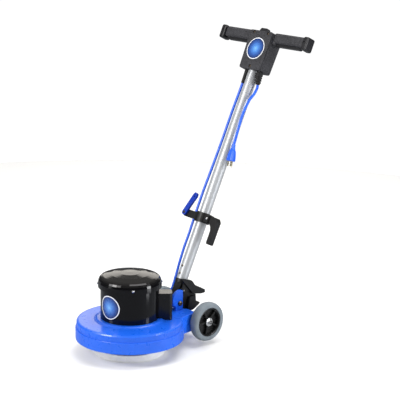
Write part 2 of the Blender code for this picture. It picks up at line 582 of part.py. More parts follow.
cheek_pts = rounded([PD(0.2040, 0.2160), PD(0.2148, 0.2138), PD(0.2286, 0.2081), PD(0.2447, 0.2041), PD(0.2535, 0.1985),
                     PD(0.2660, 0.1815), PD(0.2885, 0.1695), PD(0.3108, 0.1572), PD(0.3108, 0.1472),
                     PD(0.2935, 0.1466), PD(0.2579, 0.1531), PD(0.2420, 0.1690), PD(0.2240, 0.1650), PD(0.2152, 0.1636),
                     PD(0.2068, 0.1700), PD(0.2086, 0.1840), PD(0.2130, 0.1990)],
                    [0.002, 0, 0, 0.004, 0.004, 0.012, 0, 0.003, 0.003, 0.004, 0.003, 0.006, 0, 0.007, 0.007, 0, 0.006], 2)
pedal = outline("foot_pedal", [cheek_pts], 0.0250, 0.0292, YZ_PLANE, M_CAST)
tread_pts = rounded([PD(0.2562, 0.1905), PD(0.2632, 0.1822), PD(0.2850, 0.1706), PD(0.3070, 0.1590), PD(0.3072, 0.1495),
                     PD(0.3000, 0.1488), PD(0.2990, 0.1556), PD(0.2820, 0.1640), PD(0.2600, 0.1760), PD(0.2530, 0.1860)],
                    [0.001, 0.006, 0, 0.003, 0.002, 0.001, 0.002, 0, 0.006, 0.001], 2)
boolean(pedal, outline("tread", [tread_pts], -0.0310, 0.0310, YZ_PLANE, None, cutters), "UNION")
skirt_pts = rounded([PD(0.1965, 0.2190), PD(0.2098, 0.2161), PD(0.2236, 0.2110), PD(0.2397, 0.2066), PD(0.2495, 0.2002),
                     PD(0.2624, 0.1834), PD(0.2845, 0.1715), PD(0.3078, 0.1597), PD(0.3080, 0.1486),
                     PD(0.2894, 0.1481), PD(0.2530, 0.1550), PD(0.2239, 0.1875)],
                    [0.002, 0, 0, 0.004, 0.003, 0.010, 0, 0.004, 0.003, 0.004, 0.003, 0], 2)
boolean(pedal, outline("skirt_r", [skirt_pts], 0.0280, 0.0345, YZ_PLANE, None, cutters), "UNION")
short_pts = rounded([PD(0.2450, 0.2010), PD(0.2502, 0.1992), PD(0.2624, 0.1834), PD(0.2845, 0.1715), PD(0.3078, 0.1597),
                     PD(0.3080, 0.1486), PD(0.2894, 0.1481), PD(0.2530, 0.1550), PD(0.2430, 0.1690), PD(0.2400, 0.1850)],
                    [0.002, 0.003, 0.010, 0, 0.004, 0.003, 0.004, 0.003, 0, 0], 2)
boolean(pedal, outline("skirt_l", [short_pts], -0.0345, -0.0280, YZ_PLANE, None, cutters), "UNION")
rim_pts = [PD(0.1975, 0.2181), PD(0.2028, 0.2170), PD(0.2300, 0.1882), PD(0.2600, 0.1612), PD(0.2900, 0.1548), PD(0.3068, 0.1542),
           PD(0.3070, 0.1494), PD(0.2896, 0.1489), PD(0.2536, 0.1558), PD(0.2246, 0.1880)]
boolean(pedal, outline("rim_r", [rim_pts], 0.0335, 0.0358, YZ_PLANE, None, cutters), "UNION")
ridge_pts = [PD(0.2285, 0.2058), PD(0.2325, 0.2062), PD(0.2520, 0.1815), PD(0.2490, 0.1785)]
boolean(pedal, outline("ridge_r", [ridge_pts], 0.0335, 0.0354, YZ_PLANE, None, cutters), "UNION")
for k, (y, z) in enumerate(((0.2610, 0.1850), (0.2724, 0.1775), (0.2832, 0.1717), (0.2940, 0.1660))):
    a, b = PD(y, z)
    rib = rod("tread_rib_%d" % (k + 1), 0.0019, 0.0600, (0, a, b), (1, 0, 0), None, cutters, 6)
    boolean(pedal, rib, "UNION")
boolean(pedal, rod("pedal_bore", 0.0032, 0.0800, (0, 0, 0), (1, 0, 0), None, cutters, 10))
hold(pedal, pedal_axis)

# ---------------------------------------------------------------- tube
tube = turned("handle_tube", [(TUBE_R - TUBE_WALL, 0.8500), (TUBE_R, 0.8500), (TUBE_R, 0.0583), (TUBE_R - TUBE_WALL, 0.0583)],
              M_CHROME, steps=32, matrix=Matrix.Translation((0, TUBE_Y, TUBE_Z)))
for i, u in enumerate((0.1024, 0.0761)):
    boolean(tube, rod("tube_hole_%d" % (i + 1), 0.0023, 0.0100, H(0, u, 0.0180), (0, 1, 0), None, cutters, 12))
    m = Matrix.Translation(H(0, u, 0)) @ Matrix.Rotation(math.radians(90), 4, "X")
    s = turned("tube_screw_%d" % (i + 1),
               [(0.0, 0.0212), (0.0026, 0.0208), (0.0040, 0.0196), (0.0042, TUBE_R + 0.0001), (0.0019, TUBE_R + 0.0001),
                (0.0019, 0.0060), (0.0, 0.0050)], M_STEEL, steps=12, closed=False, matrix=m)
    hold(s, handle_axis)
hold(tube, handle_axis)

# ---------------------------------------------------------------- handle box and arms


def box_outline(inset=0.0, r=0.007):
    wt, wb = BOX_W_TOP / 2 - inset, BOX_W_BOT / 2 - inset
    return rounded([(-wb, BOX_U0 + inset), (wb, BOX_U0 + inset), (wt, BOX_U1 - inset), (-wt, BOX_U1 - inset)],
                   r - inset * 0.6, 3)


rear_shell = outline("handle_rear_shell", [box_outline()], BOX_V0, BOX_SEAM - GAP, H_FRONT, M_GREY, bevel=0.0025, segs=2)
for side in (1, -1):
    arm = block("arm_%s" % ("r" if side > 0 else "l"), (ARM_X1 - 0.048, ARM_V1 - ARM_V0, ARM_U1 - ARM_U0),
                H(side * (ARM_X1 + 0.048) / 2, (ARM_U0 + ARM_U1) / 2, (ARM_V0 + ARM_V1) / 2), None, cutters, 0.0066, 2)
    boolean(rear_shell, arm, "UNION")
    root = block("arm_root_%s" % ("r" if side > 0 else "l"), (0.030, 0.0365, 0.0405),
                 H(side * 0.0500, 0.9285, -0.0045), None, cutters, 0.0080, 2)
    boolean(rear_shell, root, "UNION")
boolean(rear_shell, outline("box_cavity", [box_outline(0.003)], BOX_V0 + 0.003, 0.0300, H_FRONT, None, cutters))
SHELL_SCREWS = ((-0.0330, 0.9425, 0.0060), (0.0330, 0.9425, 0.0060), (0.0, 0.8215, 0.0200))   # x, u, tip of the shank
for i, (x, u, tip) in enumerate(SHELL_SCREWS):
    if i < 2:
        boss = rod("boss_%d" % (i + 1), 0.0052, BOX_SEAM - GAP - BOX_V0 - 0.001,
                   H(x, u, (BOX_SEAM - GAP + BOX_V0 + 0.001) / 2), (0, 1, 0), None, cutters, 12)
    else:
        boss = block("boss_3", (0.0120, 0.0024, 0.0150), H(0, 0.8202, BOX_SEAM - GAP - 0.0012), None, cutters)
    boolean(rear_shell, boss, "UNION")
    boolean(rear_shell, rod("boss_hole_%d" % (i + 1), 0.0020, 0.0300, H(x, u, 0.0150 if i < 2 else 0.0341), (0, 1, 0), None, cutters, 8))
boolean(rear_shell, rod("tube_entry", TUBE_R + GAP, 0.0300, H(0, 0.8115, 0), (0, 0, 1), None, cutters, 32))
TRIG_V = -0.0030
for side in (1, -1):
    boolean(rear_shell, block("trigger_slot_%s" % ("r" if side > 0 else "l"), (0.1174, 0.0170, 0.0300),
                              H(side * 0.1187, 0.9175, TRIG_V), None, cutters))
boolean(rear_shell, block("button_slot", (0.0410, 0.0148, 0.0240), H(0, 0.9500, 0.0126), None, cutters))
RELIEF_A = (-0.0295, 0.0040)       # motor lead, x and v at the box floor
RELIEF_B = (0.0350, 0.0085)        # mains pigtail
boolean(rear_shell, rod("relief_hole_a", 0.0058, 0.0300, H(RELIEF_A[0], 0.8115, RELIEF_A[1]), (0, 0, 1), None, cutters, 16))
cord_top = H(RELIEF_B[0], 0.8107, RELIEF_B[1])
cord_dir = (H(0.0360, 0.7680, -0.0018) - cord_top).normalized()
boolean(rear_shell, rod("relief_hole_b", 0.0080, 0.0300, cord_top, cord_dir, None, cutters, 16))
hold(rear_shell, handle_axis)

front_shell = outline("handle_front_shell", [box_outline()], BOX_SEAM, BOX_V1, H_FRONT, M_GREY, bevel=0.0018, segs=2)
for i, (x, u, tip) in enumerate(SHELL_SCREWS):
    boolean(front_shell, rod("front_hole_%d" % (i + 1), 0.0021, 0.0200, H(x, u, 0.0250), (0, 1, 0), None, cutters, 8))
    boolean(front_shell, rod("front_sink_%d" % (i + 1), 0.0055, 0.0100, H(x, u, 0.0303), (0, 1, 0), None, cutters, 12))
    m = Matrix.Translation(H(x, u, 0)) @ Matrix.Rotation(math.radians(90), 4, "X")
    hold(turned("shell_screw_%d" % (i + 1), [(0.0, 0.0270), (0.0036, 0.0268), (0.0044, 0.0256), (0.0018, 0.0256),
                                             (0.0018, tip), (0.0, tip - 0.0003)], M_TRIM, steps=10, closed=False, matrix=m),
         handle_axis)
hold(front_shell, handle_axis)

hold(rod("handle_badge", 0.0386, 0.0009, H(0, 0.8850, BOX_V1 + GAP + 0.00045), (0, 1, 0), M_BADGE, segs=44), handle_axis)

for side in (1, -1):
    tag = "r" if side > 0 else "l"
    cap = block("end_cap_%s" % tag, (0.0220, 0.0385, 0.0480), H(side * 0.1961, 0.9325, -0.0020), M_TRIM, parts, 0.0055, 2)
    boolean(cap, rod("end_cap_hole_%s" % tag, 0.0026, 0.0120, H(side * 0.1934, 0.9375, 0.0180), (0, 1, 0), None, cutters, 10))
    hold(cap, handle_axis)
    hinge = empty("trigger_axis_%s" % tag, H(side * 0.0680, 0.9215, TRIG_V), handle_axis)
    lever = rounded([(side * a, b) for a, b in ((-0.0060, 0.0050), (-0.0060, -0.0100), (0.0040, -0.0125), (0.1024, -0.0125),
                                                (0.1079, -0.0070), (0.1079, 0.0030), (0.1024, 0.0030))][::side],
                    [0.003] * 7, 3)
    trig = outline("trigger_%s" % tag, [lever], -0.0078, 0.0078, XZ_PLANE, M_TRIM, bevel=0.0012, segs=1)
    hold(trig, hinge)

button_axis = empty("button_axis", H(0, 0.9400, 0.0126), handle_axis)
button = outline("lockout_button", [rounded([(-0.0198, -0.0060), (0.0198, -0.0060), (0.0198, 0.0132), (0.0150, 0.0225),
                                             (-0.0150, 0.0225), (-0.0198, 0.0132)],
                                            [0.001, 0.001, 0.004, 0.007, 0.007, 0.004], 3)],
                 -0.0068, 0.0068, XZ_PLANE, M_TRIM, bevel=0.0012, segs=1)
hold(button, button_axis)
hold(block("power_switch", (0.0280, 0.0220, 0.0300), H(0, 0.8850, -0.0080), M_RUBBER, bevel=0.0010, segs=1), handle_axis)

# ---------------------------------------------------------------- strain reliefs
u0 = BOX_U0 - GAP
relief_a = turned("motor_lead_relief",
                  [(LEAD_R + GAP, 0.0040), (0.0055, 0.0040), (0.0055, -0.0003), (0.0072, -0.0005), (0.0072, -0.0040),
                   (0.0067, -0.0180), (0.0061, -0.0460), (LEAD_R + GAP, -0.0480)],
                  M_RUBBER, steps=14, matrix=Matrix.Translation(H(RELIEF_A[0], u0, RELIEF_A[1])))
hold(relief_a, handle_axis)
rings = []
n_ring = 4
for k in range(n_ring):
    z0 = -0.0104 - 0.0080 * k
    r0 = 0.0130 - 0.0010 * k
    rings += [(r0, z0), (r0, z0 - 0.0050), (r0 - 0.0022, z0 - 0.0054), (r0 - 0.0024, z0 - 0.0078)]
q = Vector((0, 0, -1)).rotation_difference(cord_dir).to_matrix().to_4x4()
relief_b = turned("mains_relief",
                  [(0.0, 0.0040), (0.0076, 0.0040), (0.0076, -0.0040), (0.0132, -0.0042), (0.0132, -0.0090)]
                  + rings + [(0.0070, -0.0436), (0.0064, -0.0440), (0.0, -0.0440)],
                  M_RUBBER, steps=16, closed=False, matrix=Matrix.Translation(cord_top) @ q)
hold(relief_b, handle_axis)

# ---------------------------------------------------------------- motor lead, held between the box and the deck
lead_top = [H(RELIEF_A[0], 0.8250, RELIEF_A[1]), H(RELIEF_A[0], 0.7900, RELIEF_A[1]), H(RELIEF_A[0], 0.7600, 0.0040),
            H(-0.0298, 0.7400, 0.0040), H(-0.0322, 0.6600, 0.0040), H(-0.0322, 0.5530, 0.0040), H(-0.0345, 0.4600, 0.0040),
            H(-0.0378, 0.3700, 0.0040), H(-0.0376, 0.3200, 0.0040), H(-0.0370, 0.2950, 0.0040), H(-0.0370, 0.2650, 0.0040),
            H(-0.0355, 0.2100, 0.0040), H(-0.0372, 0.1580, 0.0030), H(-0.0375, 0.1007, -0.0009), H(-0.0375, 0.0622, -0.0050),
            H(-0.0378, 0.0300, -0.0085)]
for x, y, z in ((-0.0412, 0.2200, 0.1577), (-0.0465, 0.2165, 0.1536), (-0.0520, 0.2100, 0.1520), (-0.0550, 0.2010, 0.1470)):
    a, b = RH(y, z)
    lead_top.append(Vector((x, a, b)))
lead_top += [Vector((-0.0572, 0.0040, 0.0040)), Vector((-0.0608, 0.0, 0.0)), Vector((-0.0640, 0.0, 0.0))]
hold(wire("motor_lead_upper", bend_path(lead_top, 9.0, 0.0500), LEAD_R, M_LEAD, res=2), handle_axis)
lead_low = [(-0.0649, PIVOT_Y, PIVOT_Z), (-0.0672, PIVOT_Y, PIVOT_Z), (-0.0725, 0.1840, 0.1358), (-0.0752, 0.1750, 0.1352),
            (-0.0740, 0.1630, 0.1345), (-0.0695, 0.1520, 0.1320), (-0.0664, 0.1460, 0.1270), (-0.0660, 0.1450, 0.1200),
            (-0.0660, 0.1450, 0.1120), (-0.0660, 0.1450, 0.1000)]
wire("motor_lead_lower", bend_path(lead_low, 9.0, 0.0200), LEAD_R, M_LEAD, res=2)
turned("deck_lead_grommet", [(LEAD_R + GAP, 0.1205), (0.0078, 0.1196), (0.0112, 0.1166), (0.0112, 0.1139),
                             (0.0080, 0.1139), (0.0080, 0.1045), (LEAD_R + GAP, 0.1045)], M_RUBBER, steps=16,
       matrix=Matrix.Translation((-0.0660, 0.1450, 0.0)))

# ---------------------------------------------------------------- hook bracket, clamped on the tube
bar_pts = rounded([(-0.0880, 0.2680), (0.0470, 0.2640), (0.0560, 0.2540), (0.0604, 0.2440), (0.0604, 0.1965), (0.0775, 0.1965),
                   (0.0785, 0.2790), (0.0690, 0.2900), (-0.0880, 0.2935)],
                  [0.008, 0.004, 0.006, 0.004, 0.005, 0.005, 0.009, 0.004, 0.008], 2)
bracket = outline("hook_bracket", [bar_pts], -0.0100, 0.0100, H_FRONT, M_CAST)
boolean(bracket, rod("collar", 0.0262, 0.0340, H(0, 0.2785, 0), (0, 0, 1), None, cutters, 28), "UNION")
boolean(bracket, block("clamp_lug", (0.0220, 0.0260, 0.0300), H(0.0300, 0.2785, 0.0030), None, cutters, 0.0020, 1), "UNION")
boolean(bracket, rod("tube_way", TUBE_R + GAP, 0.0600, H(0, 0.2785, 0), (0, 0, 1), None, cutters, 32))
boolean(bracket, rod("lead_way", 0.0054, 0.0600, H(-0.0370, 0.2785, 0.0040), (0, 0, 1), None, cutters, 16))
boolean(bracket, rod("screw_way", 0.0024, 0.0240, H(0.0330, 0.2785, 0.0080), (0, 1, 0), None, cutters, 10))
boolean(bracket, rod("hook_pin_way", 0.0034, 0.0400, H(-0.0790, 0.2800, 0.0), (0, 1, 0), None, cutters, 12))
hold(bracket, handle_axis)
m = Matrix.Translation(H(0.0330, 0.2785, 0)) @ Matrix.Rotation(math.radians(90), 4, "X")
hold(turned("bracket_screw", [(0.0, 0.0194), (0.0030, 0.0190), (0.0044, 0.0178), (0.0046, 0.0163), (0.0021, 0.0163),
                              (0.0021, 0.0000), (0.0, -0.0010)], M_STEEL, steps=12, closed=False, matrix=m), handle_axis)
hook_axis = empty("cord_hook_axis", H(-0.0790, 0.2800, 0.0145), handle_axis)
tilt = math.radians(-21.0)
ct, st = math.cos(tilt), math.sin(tilt)


def HK(a, b):
    return (a * ct - b * st, a * st + b * ct)


hook_pts = rounded([HK(-0.0100, -0.0095), HK(0.0100, -0.0095), HK(0.0090, 0.0300), HK(0.0095, 0.0700), HK(0.0050, 0.0790),
                    HK(-0.0075, 0.0790), HK(-0.0105, 0.0680), HK(-0.0100, 0.0300)],
                   [0.0085, 0.0085, 0.03, 0.006, 0.003, 0.006, 0.006, 0.03], 3)
hook = outline("cord_hook", [hook_pts], -0.0040, 0.0040, XZ_PLANE, M_BLUE, bevel=0.0012, segs=1)
for tag, b, r in (("low", 0.0, 0.0034), ("high", 0.0650, 0.0026)):
    a, c = HK(0.0, b)
    boolean(hook, rod("cord_hook_hole_%s" % tag, r, 0.0300, (a, 0, c), (0, 1, 0), None, cutters, 12))
hold(hook, hook_axis)
m = Matrix.Translation(H(-0.0790, 0.2800, 0)) @ Matrix.Rotation(math.radians(90), 4, "X")
hold(turned("cord_hook_pin", [(0.0, 0.0204), (0.0030, 0.0202), (0.0050, 0.0192), (0.0052, 0.0188), (0.0031, 0.0188),
                              (0.0031, -0.0103), (0.0050, -0.0103), (0.0050, -0.0118), (0.0, -0.0120)],
            M_TRIM, steps=12, closed=False, matrix=m), handle_axis)

# ---------------------------------------------------------------- mains pigtail with its plug
cord_ctrl = [cord_top + cord_dir * 0.0443, cord_top + cord_dir * 0.0560, H(0.0350, 0.7330, -0.0010),
             H(0.0325, 0.7100, 0.0075), H(0.0310, 0.6800, 0.0120), H(0.0300, 0.6500, 0.0135),
             H(0.0305, 0.6128, 0.0120), H(0.0318, 0.5750, 0.0098), H(0.0327, 0.5478, 0.0085)]
cord = wire("mains_pigtail", smooth_path(cord_ctrl, 0.0120), CORD_R, M_LEAD, res=2)
hold(cord, handle_axis)
plug_a, plug_b = H(0.0327, 0.5475, 0.0085), H(0.0390, 0.4905, 0.0037)
pdir = (plug_b - plug_a).normalized()
# plug frame: local Z along the plug, local X across the blades
px = Vector((1, 0, 0))
px = (px - pdir * px.dot(pdir)).normalized()
py = pdir.cross(px)
PF = Matrix((px, py, pdir)).transposed().to_4x4()
PF.translation = plug_a
L = (plug_b - plug_a).length


def ring_section(bm, z, hx, hy, r, n=2):
    pts = rounded([(hx, hy), (-hx, hy), (-hx, -hy), (hx, -hy)], r, n)
    return [bm.verts.new((a, b, z)) for a, b in pts]


bm = bmesh.new()
sections = [ring_section(bm, z, hx, hy, r) for z, hx, hy, r in
            ((0.0003, 0.0058, 0.0058, 0.0055), (0.0100, 0.0064, 0.0064, 0.0058), (0.0170, 0.0078, 0.0072, 0.0060),
             (0.0240, 0.0108, 0.0092, 0.0066), (0.0360, 0.0125, 0.0108, 0.0070), (L - 0.0080, 0.0135, 0.0118, 0.0070),
             (L - 0.0015, 0.0138, 0.0120, 0.0070), (L, 0.0128, 0.0110, 0.0062))]
for s0, s1 in zip(sections, sections[1:]):
    n = len(s0)
    for i in range(n):
        bm.faces.new((s0[i], s0[(i + 1) % n], s1[(i + 1) % n], s1[i]))
bm.faces.new(sections[0][::-1])
bm.faces.new(sections[-1])
bmesh.ops.transform(bm, matrix=PF, verts=bm.verts)
plug = mesh_object("mains_plug", bm, M_LEAD)
for tag, x, y in (("a", -0.00635, 0.0035), ("b", 0.00635, 0.0035)):
    bl = block("plug_blade_%s" % tag, (0.0016, 0.0064, 0.0175), (0, 0, 0), M_BRASS, bevel=0.0004, segs=1)
    bl.data.transform(PF @ Matrix.Translation((x, y, L + GAP + 0.00875)))
    hold(bl, handle_axis)
gp = rod("plug_ground_pin", 0.0024, 0.0195, (0, 0, 0), (0, 0, 1), M_BRASS, segs=14, bevel=0.0008)
gp.data.transform(PF @ Matrix.Translation((0, -0.0080, L + GAP + 0.00975)))
hold(gp, handle_axis)
hold(plug, handle_axis)

bpy.context.view_layer.update()
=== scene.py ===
"""Looks for the rotary floor machine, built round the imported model."""
import math
import bpy
import bmesh
from mathutils import Matrix, Vector


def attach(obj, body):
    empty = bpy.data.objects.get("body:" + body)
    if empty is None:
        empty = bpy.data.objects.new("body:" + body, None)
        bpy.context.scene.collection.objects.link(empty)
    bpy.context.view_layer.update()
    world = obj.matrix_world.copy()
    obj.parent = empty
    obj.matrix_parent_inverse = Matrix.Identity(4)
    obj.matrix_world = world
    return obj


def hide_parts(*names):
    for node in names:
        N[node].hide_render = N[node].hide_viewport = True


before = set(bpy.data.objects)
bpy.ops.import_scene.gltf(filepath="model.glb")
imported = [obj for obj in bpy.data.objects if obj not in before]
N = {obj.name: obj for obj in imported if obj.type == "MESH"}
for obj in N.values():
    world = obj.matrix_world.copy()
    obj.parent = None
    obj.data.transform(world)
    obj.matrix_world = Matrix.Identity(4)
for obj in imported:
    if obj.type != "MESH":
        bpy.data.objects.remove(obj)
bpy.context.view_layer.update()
scene = bpy.context.scene

# ------------------------------------------------------------------ camera
cam_data = bpy.data.cameras.new("camera")
cam_data.sensor_fit = "AUTO"
cam_data.sensor_width = 36.0
cam_data.lens = 134.85
cam_data.clip_start, cam_data.clip_end = 0.1, 60.0
cam = bpy.data.objects.new("camera", cam_data)
scene.collection.objects.link(cam)
eye = Vector((3.5889, -3.0578, 1.7089))
aim = Vector((0.0598, 0.2544, 0.4879))
fwd = (aim - eye).normalized()
right = fwd.cross(Vector((0, 0, 1))).normalized()
up = right.cross(fwd)
roll = math.radians(0.8568)
cx = right * math.cos(roll) + up * math.sin(roll)
cy = -right * math.sin(roll) + up * math.cos(roll)
m = Matrix((cx, cy, -fwd)).transposed().to_4x4()
m.translation = eye
cam.matrix_world = m
scene.camera = cam

# ------------------------------------------------------------------ handle frame, as in the CAD
LEAN = math.radians(25.45)
PIVOT = Vector((0.0, 0.1870, 0.1360))


def H(x, u, v):
    """Row-frame point on the handle: x across, u along the tube, v to its front."""
    y, z = 0.0116 - v, 0.0210 + u
    c, s = math.cos(LEAN), math.sin(LEAN)
    return Vector((x, PIVOT.y + y * c + z * s, PIVOT.z - y * s + z * c))


AX = (H(0, 1, 0) - H(0, 0, 0)).normalized()      # up the tube
NV = (H(0, 0, 1) - H(0, 0, 0)).normalized()      # out of the handle's front


def smooth_path(ctrl, step):
    """Catmull-Rom curve through the control points, sampled at even steps."""
    P = [Vector(p) for p in ctrl]
    P = [P[0] * 2 - P[1]] + P + [P[-1] * 2 - P[-2]]
    dense = []
    for i in range(1, len(P) - 2):
        a, b, c, d = P[i - 1:i + 3]
        for k in range(24):
            t = k / 24.0
            dense.append(0.5 * ((2 * b) + (c - a) * t + (2 * a - 5 * b + 4 * c - d) * t * t
                                + (3 * b - a - 3 * c + d) * t ** 3))
    dense.append(P[-2].copy())
    total = sum((q - p).length for p, q in zip(dense, dense[1:]))
    n = max(2, round(total / step))
    out, want, run = [dense[0]], total / n, 0.0
    for p, q in zip(dense, dense[1:]):
        seg = (q - p).length
        while seg > 1e-12 and run + seg >= want * len(out) - 1e-9 and len(out) < n:
            t = (want * len(out) - run) / seg
            out.append(p.lerp(q, min(max(t, 0), 1)))
        run += seg
    out.append(dense[-1])
    return out


# ------------------------------------------------------------------ node helpers
def new_mat(name):
    mt = bpy.data.materials.new(name)
    mt.use_nodes = True
    return mt, mt.node_tree.nodes, mt.node_tree.links, mt.node_tree.nodes["Principled BSDF"]


def coords(nd):
    return nd.new("ShaderNodeTexCoord").outputs["Object"]


def noise(nd, lk, vec, scale, detail=3.0, rough=0.55, dist=0.0, scale3=None):
    if scale3 is not None:
        mp = nd.new("ShaderNodeMapping")
        mp.inputs["Scale"].default_value = scale3
        lk.new(vec, mp.inputs["Vector"])
        vec = mp.outputs["Vector"]
    n = nd.new("ShaderNodeTexNoise")
    n.inputs["Scale"].default_value = scale
    n.inputs["Detail"].default_value = detail
    n.inputs["Roughness"].default_value = rough
    n.inputs["Distortion"].default_value = dist
    lk.new(vec, n.inputs["Vector"])
    return n.outputs["Fac"]


def ramp(nd, lk, fac, stops, interp="LINEAR"):
    r = nd.new("ShaderNodeValToRGB")
    r.color_ramp.interpolation = interp
    while len(r.color_ramp.elements) < len(stops):
        r.color_ramp.elements.new(0.5)
    for e, (p, c) in zip(r.color_ramp.elements, stops):
        e.position = p
        e.color = (*c, 1.0) if not isinstance(c, float) else (c, c, c, 1.0)
    lk.new(fac, r.inputs["Fac"])
    return r.outputs["Color"]


def span(nd, lk, fac, lo, hi, f0=0.0, f1=1.0):
    r = nd.new("ShaderNodeMapRange")
    r.inputs["From Min"].default_value = f0
    r.inputs["From Max"].default_value = f1
    r.inputs["To Min"].default_value = lo
    r.inputs["To Max"].default_value = hi
    lk.new(fac, r.inputs["Value"])
    return r.outputs["Result"]


def bump(nd, lk, height, bsdf, strength, dist=0.0005, chain=None):
    b = nd.new("ShaderNodeBump")
    b.inputs["Strength"].default_value = strength
    b.inputs["Distance"].default_value = dist
    lk.new(height, b.inputs["Height"])
    if chain is not None:
        lk.new(chain, b.inputs["Normal"])
    lk.new(b.outputs["Normal"], bsdf.inputs["Normal"])
    return b.outputs["Normal"]


def math_node(nd, lk, op, a, b=None):
    mnode = nd.new("ShaderNodeMath")
    mnode.operation = op
    for i, x in enumerate((a, b)):
        if x is None:
            continue
        if isinstance(x, (int, float)):
            mnode.inputs[i].default_value = x
        else:
            lk.new(x, mnode.inputs[i])
    return mnode.outputs[0]


def vec_node(nd, lk, op, a, b=None, out="Vector"):
    v = nd.new("ShaderNodeVectorMath")
    v.operation = op
    for i, x in enumerate((a, b)):
        if x is None:
            continue
        if isinstance(x, (tuple, Vector)):
            v.inputs[i].default_value = tuple(x)
        else:
            lk.new(x, v.inputs[i])
    return v.outputs[out]


# ------------------------------------------------------------------ materials
def plastic(name, lo, hi, rough, grain=260.0, grain_strength=0.06, spec=0.5, coat=0.0, coat_rough=0.08,
            patch=9.0, scuff=0.05):
    """Moulded plastic: slow colour drift, fine grain in the surface, uneven sheen."""
    mt, nd, lk, b = new_mat(name)
    p = coords(nd)
    drift = noise(nd, lk, p, patch, 3.0)
    lk.new(ramp(nd, lk, drift, [(0.3, lo), (0.7, hi)]), b.inputs["Base Color"])
    fine = noise(nd, lk, p, grain, 2.0, 0.6)
    sheen = noise(nd, lk, p, 45.0, 4.0, 0.7)
    lk.new(span(nd, lk, sheen, rough - scuff, rough + scuff, 0.3, 0.7), b.inputs["Roughness"])
    bump(nd, lk, fine, b, grain_strength, 0.0004)
    b.inputs["Specular IOR Level"].default_value = spec
    b.inputs["Coat Weight"].default_value = coat
    b.inputs["Coat Roughness"].default_value = coat_rough
    return mt


def metal(name, lo, hi, rough, brush=None, strength=0.05, metallic=1.0, spec=0.5, scuff=0.06):
    """Metal with drawn or turned lines where brush gives the stretch of the noise."""
    mt, nd, lk, b = new_mat(name)
    p = coords(nd)
    lines = noise(nd, lk, p, 60.0, 4.0, 0.65, 0.0, brush or (1, 1, 1))
    lk.new(ramp(nd, lk, lines, [(0.3, lo), (0.7, hi)]), b.inputs["Base Color"])
    lk.new(span(nd, lk, lines, rough - scuff, rough + scuff, 0.3, 0.7), b.inputs["Roughness"])
    bump(nd, lk, lines, b, strength, 0.0002)
    b.inputs["Metallic"].default_value = metallic
    b.inputs["Specular IOR Level"].default_value = spec
    return mt


M_BLUE = plastic("deck_blue", (0.006, 0.098, 0.64), (0.009, 0.118, 0.74), 0.30, 260.0, 0.0, 0.5, 0.15, 0.12)
M_HOOK = plastic("hook_blue", (0.003, 0.030, 0.33), (0.005, 0.045, 0.42), 0.26, 260.0, 0.02, 0.5, 0.3, 0.10)
M_GLOSS = plastic("gloss_black", (0.0012, 0.0012, 0.0017), (0.0022, 0.0022, 0.0030), 0.11, 160.0, 0.02, 0.30, 0.0, 0.05, scuff=0.03)
M_SATIN = plastic("satin_black", (0.0035, 0.0035, 0.0042), (0.0055, 0.0055, 0.0064), 0.20, 420.0, 0.03, 0.34)
M_CAST = plastic("painted_black", (0.0045, 0.0045, 0.0052), (0.0085, 0.0085, 0.0095), 0.42, 330.0, 0.12, 0.34)
M_TRIM = plastic("trim_black", (0.006, 0.006, 0.008), (0.012, 0.012, 0.015), 0.40, 500.0, 0.10, 0.40)
M_HUB = plastic("hub_black", (0.0045, 0.0045, 0.0052), (0.0080, 0.0080, 0.0088), 0.28, 400.0, 0.04, 0.45)
M_RUBBER = plastic("rubber_black", (0.0060, 0.0060, 0.0068), (0.0110, 0.0110, 0.0120), 0.60, 600.0, 0.12, 0.35)
M_STEEL = metal("plated_steel", (0.58, 0.59, 0.61), (0.72, 0.73, 0.75), 0.26)
M_DARKSTEEL = metal("blackened_steel", (0.110, 0.085, 0.060), (0.190, 0.150, 0.110), 0.35, metallic=0.9)
M_ALU = metal("cast_aluminium", (0.50, 0.51, 0.52), (0.66, 0.67, 0.68), 0.42, strength=0.25)
M_BRASS = metal("plated_blade", (0.62, 0.56, 0.40), (0.74, 0.68, 0.50), 0.28, (1, 1, 6))
M_COPPER = metal("windings", (0.42, 0.14, 0.05), (0.62, 0.24, 0.09), 0.35, (2, 2, 30), 0.5, 0.8)


def grained(name, lo, hi):
    """Textured handle moulding: a pebble grain, with painted highlight on its raised spots and painted shade in its
    hollows.
    """
    mt, nd, lk, b = new_mat(name)
    p = coords(nd)
    vor = nd.new("ShaderNodeTexVoronoi")
    vor.inputs["Scale"].default_value = 620.0
    lk.new(p, vor.inputs["Vector"])
    n1 = noise(nd, lk, p, 300.0, 4.0, 0.75)
    n2 = noise(nd, lk, p, 26.0, 3.0, 0.6)
    mix = math_node(nd, lk, "MULTIPLY_ADD", vor.outputs["Distance"], 0.6)
    mix.node.inputs[2].default_value = 0.0
    s = math_node(nd, lk, "ADD", mix, math_node(nd, lk, "MULTIPLY", n1, 0.75))
    s2 = math_node(nd, lk, "ADD", s, math_node(nd, lk, "MULTIPLY", n2, 0.30))
    # colour follows the bump height: painted highlight on the raised grain, painted shade in the hollows
    lk.new(ramp(nd, lk, s2, [(0.62, lo), (0.98, hi)]), b.inputs["Base Color"])
    lk.new(span(nd, lk, n1, 0.48, 0.68, 0.3, 0.7), b.inputs["Roughness"])
    bump(nd, lk, s, b, 0.45, 0.0006)
    b.inputs["Specular IOR Level"].default_value = 0.35
    return mt


M_GRAIN = grained("grained_black", (0.004, 0.004, 0.006), (0.046, 0.046, 0.053))


